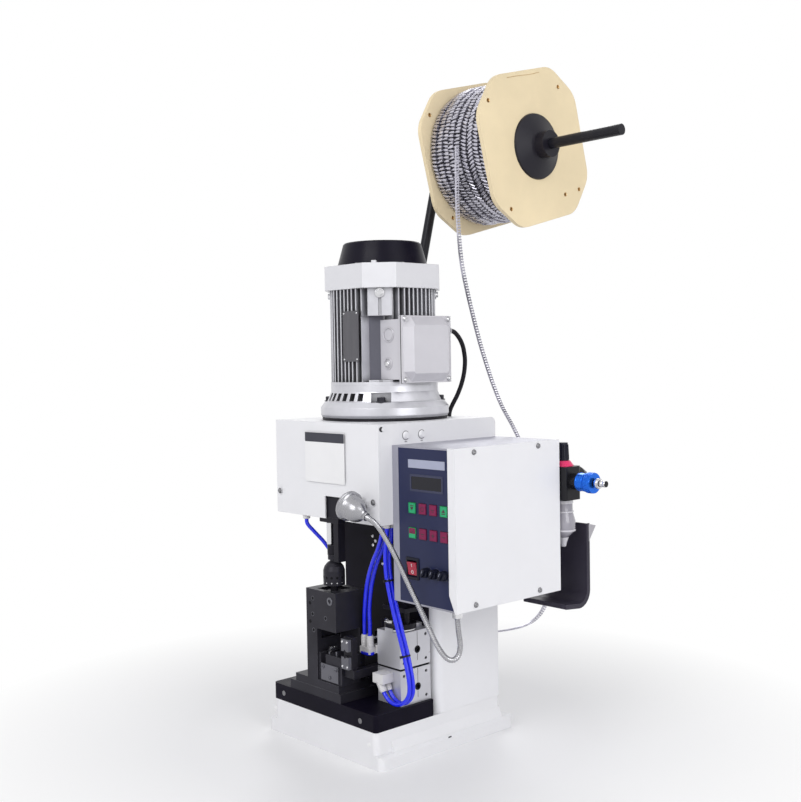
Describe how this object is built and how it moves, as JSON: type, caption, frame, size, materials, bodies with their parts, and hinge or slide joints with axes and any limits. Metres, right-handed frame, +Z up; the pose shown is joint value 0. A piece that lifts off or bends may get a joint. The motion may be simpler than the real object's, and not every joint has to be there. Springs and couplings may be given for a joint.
{
  "type": "wire stripping crimping machine",
  "caption": "Bench press with an upright motor, control panel, stripping jaws and terminal reel, which strips a wire's end and crimps a terminal on it.",
  "frame": {"origin": "centre of the base's underside, on the bench", "axes": "+Z up, -Y the front where the wire goes in, +X the operator's right, where the control box is"},
  "size_m": [0.481, 0.4461, 1.0281],
  "materials": {
    "white_enamel": "fine powder coat, satin",
    "white_base": "enamelled casting, satin",
    "black_steel": "black oxide and paint, satin",
    "casting_black": "painted black",
    "motor_metal": "die cast, lightly lacquered",
    "band_metal": "silver enamel",
    "box_metal": "satin anodised sheet",
    "cowl_black": "black enamel",
    "jbox_metal": "painted light grey",
    "cable_rubber": "matt black jacket",
    "panel_film": "dark blue film over steel",
    "boards": "circuit boards and drive parts",
    "bearing_metal": "ground steel rings and bronze bushes",
    "bronze": "machined bronze",
    "applicator_steel": "blackened tool steel",
    "bright_steel": "ground",
    "actuator_metal": "machined and anodised",
    "fitting": "white fittings with plated collars",
    "air_tube": "blue polyurethane tube",
    "regulator_body": "black with a clear bowl",
    "tray_sheet": "dark grey powder coat",
    "neck_metal": "flexible steel hose",
    "lamp_metal": "satin spun shade",
    "stand_black": "black enamel",
    "terminal_metal": "tinned strip",
    "valve_metal": "anodised with black coils",
    "rotor_steel": "machined",
    "fan_plastic": "moulded",
    "crank_steel": "forged and ground",
    "dial_steel": "knurled, blackened",
    "jaw_steel": "hardened and ground",
    "rocker_red": "translucent red",
    "reel_board": "pale fibre board",
    "pack_metal": "wound strip of terminals between paper",
    "clamp_black": "moulded black",
    "key_green": "printed film key",
    "key_red": "printed film key",
    "knob_black": "moulded",
    "sleeve_blue": "anodised blue"
  },
  "bodies": {
    "machine": {"base": "white_base", "bed_plate": "casting_black", "c_frame": "casting_black", "column_casing": "white_enamel", "head_casing": "white_enamel", "head_cover": "white_enamel", "motor_flange": "motor_metal", "motor_frame": "motor_metal", "motor_end_band": "band_metal", "fan_cowl": "cowl_black", "junction_box": "jbox_metal", "motor_cable": "cable_rubber", "control_box": "box_metal", "control_cover": "white_enamel", "control_panel": "panel_film", "circuit_boards": "boards", "bearings": "bearing_metal", "ram_gibs": "bronze", "applicator_frame": "applicator_steel", "anvil": "bright_steel", "strip_actuator": "actuator_metal", "air_fittings": "fitting", "tube_left": "air_tube", "tube_middle": "air_tube", "tube_right": "air_tube", "air_regulator": "regulator_body", "tray": "tray_sheet", "lamp_neck": "neck_metal", "lamp_head": "lamp_metal", "reel_stand": "stand_black", "terminal_strip": "terminal_metal", "solenoid_valve": "valve_metal"},
    "rotor": {"rotor": "rotor_steel", "motor_fan": "fan_plastic"},
    "crank": {"crankshaft": "crank_steel"},
    "ram": {"ram_slide": "black_steel", "applicator_ram": "applicator_steel", "crimper": "bright_steel"},
    "dial": {"height_dial": "dial_steel"},
    "feed_finger": {"feed_lever": "applicator_steel"},
    "strip_carriage": {"strip_slide": "black_steel"},
    "upper_jaw": {"jaw_upper": "jaw_steel"},
    "lower_jaw": {"jaw_lower": "jaw_steel"},
    "switch": {"power_rocker": "rocker_red"},
    "supply_reel": {"reel": "reel_board", "strip_pack": "pack_metal", "reel_clamp": "clamp_black"},
    "button_1": {"key_1": "key_green"},
    "button_2": {"key_2": "key_red"},
    "button_3": {"key_3": "key_red"},
    "button_4": {"key_4": "key_green"},
    "button_5": {"key_5": "key_green"},
    "button_6": {"key_6": "key_red"},
    "button_7": {"key_7": "key_red"},
    "button_8": {"key_8": "key_red"},
    "knob_1": {"selector_1": "knob_black"},
    "knob_2": {"selector_2": "knob_black"},
    "knob_3": {"selector_3": "knob_black"},
    "pressure_knob": {"regulator_knob": "knob_black"},
    "sleeve": {"coupler_sleeve": "sleeve_blue"}
  },
  "joints": [
    {"name": "crank_turn", "type": "hinge", "parent": "machine", "child": "crank", "pos_m": [0.003, -0.05, 0.415], "axis": [0, 1, 0], "continuous": true},
    {"name": "rotor_turn", "type": "hinge", "parent": "machine", "child": "rotor", "pos_m": [0.003, -0.004, 0.6], "axis": [0, 0, 1], "continuous": true},
    {"name": "ram_slide", "type": "slide", "parent": "machine", "child": "ram", "axis": [0, 0, 1], "range_m": [-0.03, 0]},
    {"name": "dial_turn", "type": "hinge", "parent": "ram", "child": "dial", "pos_m": [0.003, -0.112, 0.26], "axis": [0, 0, 1], "continuous": true},
    {"name": "feed_swing", "type": "hinge", "parent": "machine", "child": "feed_finger", "pos_m": [0.003, -0.078, 0.223], "axis": [1, 0, 0], "range_deg": [0, 12.1]},
    {"name": "strip_slide", "type": "slide", "parent": "machine", "child": "strip_carriage", "axis": [0, 1, 0], "range_m": [0, 0.012]},
    {"name": "upper_jaw_slide", "type": "slide", "parent": "strip_carriage", "child": "upper_jaw", "axis": [0, 0, -1], "range_m": [0, 0.0035]},
    {"name": "lower_jaw_slide", "type": "slide", "parent": "strip_carriage", "child": "lower_jaw", "axis": [0, 0, 1], "range_m": [0, 0.0035]},
    {"name": "switch_tilt", "type": "hinge", "parent": "machine", "child": "switch", "pos_m": [0.165, -0.0978, 0.289], "axis": [-1, 0, 0], "range_deg": [0, 19]},
    {"name": "reel_spin", "type": "hinge", "parent": "machine", "child": "supply_reel", "pos_m": [0.122, 0.15, 0.904], "axis": [1, 0, 0], "continuous": true},
    {"name": "button_1_press", "type": "slide", "parent": "machine", "child": "button_1", "axis": [0, 1, 0], "range_m": [0, 0.0008], "stiffness_N_per_m": 300, "springref_m": -0.001},
    {"name": "button_2_press", "type": "slide", "parent": "machine", "child": "button_2", "axis": [0, 1, 0], "range_m": [0, 0.0008], "stiffness_N_per_m": 300, "springref_m": -0.001},
    {"name": "button_3_press", "type": "slide", "parent": "machine", "child": "button_3", "axis": [0, 1, 0], "range_m": [0, 0.0008], "stiffness_N_per_m": 300, "springref_m": -0.001},
    {"name": "button_4_press", "type": "slide", "parent": "machine", "child": "button_4", "axis": [0, 1, 0], "range_m": [0, 0.0008], "stiffness_N_per_m": 300, "springref_m": -0.001},
    {"name": "button_5_press", "type": "slide", "parent": "machine", "child": "button_5", "axis": [0, 1, 0], "range_m": [0, 0.0008], "stiffness_N_per_m": 300, "springref_m": -0.001},
    {"name": "button_6_press", "type": "slide", "parent": "machine", "child": "button_6", "axis": [0, 1, 0], "range_m": [0, 0.0008], "stiffness_N_per_m": 300, "springref_m": -0.001},
    {"name": "button_7_press", "type": "slide", "parent": "machine", "child": "button_7", "axis": [0, 1, 0], "range_m": [0, 0.0008], "stiffness_N_per_m": 300, "springref_m": -0.001},
    {"name": "button_8_press", "type": "slide", "parent": "machine", "child": "button_8", "axis": [0, 1, 0], "range_m": [0, 0.0008], "stiffness_N_per_m": 300, "springref_m": -0.001},
    {"name": "knob_1_turn", "type": "hinge", "parent": "machine", "child": "knob_1", "pos_m": [0.196, -0.0998, 0.2875], "axis": [0, 1, 0], "range_deg": [-150, 150]},
    {"name": "knob_2_turn", "type": "hinge", "parent": "machine", "child": "knob_2", "pos_m": [0.213, -0.0998, 0.2875], "axis": [0, 1, 0], "range_deg": [-150, 150]},
    {"name": "knob_3_turn", "type": "hinge", "parent": "machine", "child": "knob_3", "pos_m": [0.23, -0.0998, 0.2875], "axis": [0, 1, 0], "range_deg": [-150, 150]},
    {"name": "pressure_knob_turn", "type": "hinge", "parent": "machine", "child": "pressure_knob", "pos_m": [0.2408, 0.139, 0.44], "axis": [0, 0, 1], "range_deg": [-170, 170]},
    {"name": "sleeve_slide", "type": "slide", "parent": "machine", "child": "sleeve", "axis": [1, 0, 0], "range_m": [0, 0.003], "stiffness_N_per_m": 400, "springref_m": -0.001}
  ],
  "couplings": [
    {"joint": "rotor_turn", "follows": "crank_turn", "ratio": -4},
    {"joint": "feed_swing", "follows": "ram_slide", "rad_per_m": -7},
    {"joint": "lower_jaw_slide", "follows": "upper_jaw_slide", "ratio": 1}
  ]
}
